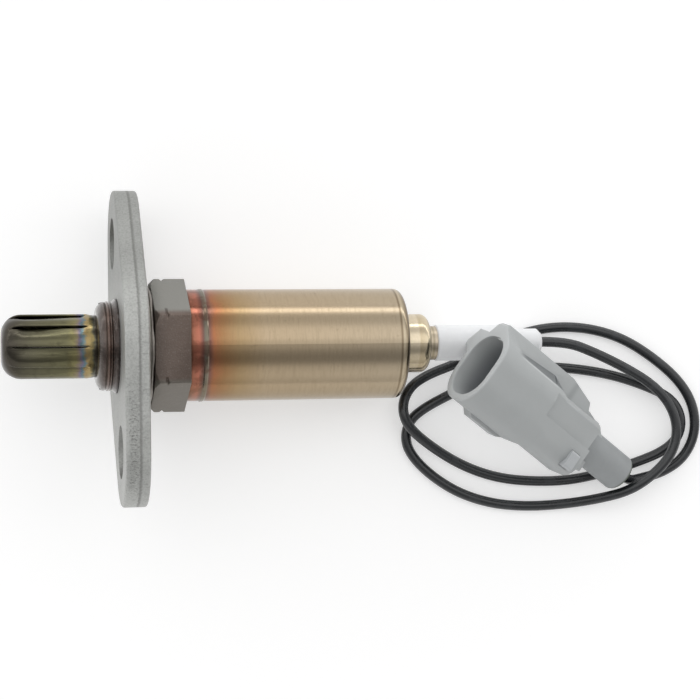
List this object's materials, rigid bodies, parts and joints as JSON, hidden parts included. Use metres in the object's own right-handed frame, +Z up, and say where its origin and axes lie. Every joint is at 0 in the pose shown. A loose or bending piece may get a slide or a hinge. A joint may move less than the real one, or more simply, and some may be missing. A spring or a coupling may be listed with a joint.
{
  "type": "oxygen sensor",
  "caption": "Unheated exhaust oxygen sensor: louvred protection tube, oval bolted flange, hexagon and long metal sleeve, with a loosely looped wire that ends in a moulded plug.",
  "frame": {"origin": "on the table, below the middle of the sensor's own box, wire and plug left out", "axes": "+X along the lying sensor from the louvred tip to the cable end, +Z up from the table"},
  "size_m": [0.1378, 0.0639, 0.0352],
  "materials": {
    "tube_steel": "heat-tinted drawn stainless steel",
    "zirconia": "fired zirconia, satin",
    "seal_metal": "soft annealed steel",
    "packing_powder": "pressed steatite powder",
    "housing_steel": "turned stainless steel, heat-browned",
    "flange_steel": "punched plated steel, light grey",
    "gasket_metal": "folded stainless ring",
    "white_ceramic": "fired alumina",
    "spring_steel": "spring steel",
    "contact_nickel": "nickel alloy",
    "sleeve_steel": "drawn stainless, bronze heat tint",
    "ferrule_steel": "bright drawn stainless, pale gold",
    "white_ptfe": "white PTFE",
    "grey_plastic": "mid grey glass-filled plastic",
    "light_grey_plastic": "light grey plastic",
    "boot_rubber": "grey silicone rubber",
    "terminal_brass": "tinned brass",
    "wire_jacket": "near-black satin jacket"
  },
  "bodies": {
    "root": {"protection_tube": "tube_steel", "zirconia_element": "zirconia", "element_seat_ring": "seal_metal", "powder_packing": "packing_powder", "packing_ring": "seal_metal", "sensor_housing": "housing_steel", "mounting_flange": "flange_steel", "gasket_ring": "gasket_metal", "ceramic_support_tube": "white_ceramic", "spring_washer": "spring_steel", "inner_contact": "contact_nickel", "wire_crimp": "contact_nickel", "protective_sleeve": "sleeve_steel", "outlet_ferrule": "ferrule_steel", "insulating_bush": "white_ceramic", "cable_sleeve": "white_ptfe", "connector_housing": "grey_plastic", "terminal_retainer": "light_grey_plastic", "connector_terminal": "terminal_brass", "wire_boot": "boot_rubber", "signal_wire": "wire_jacket"}
  },
  "joints": []
}
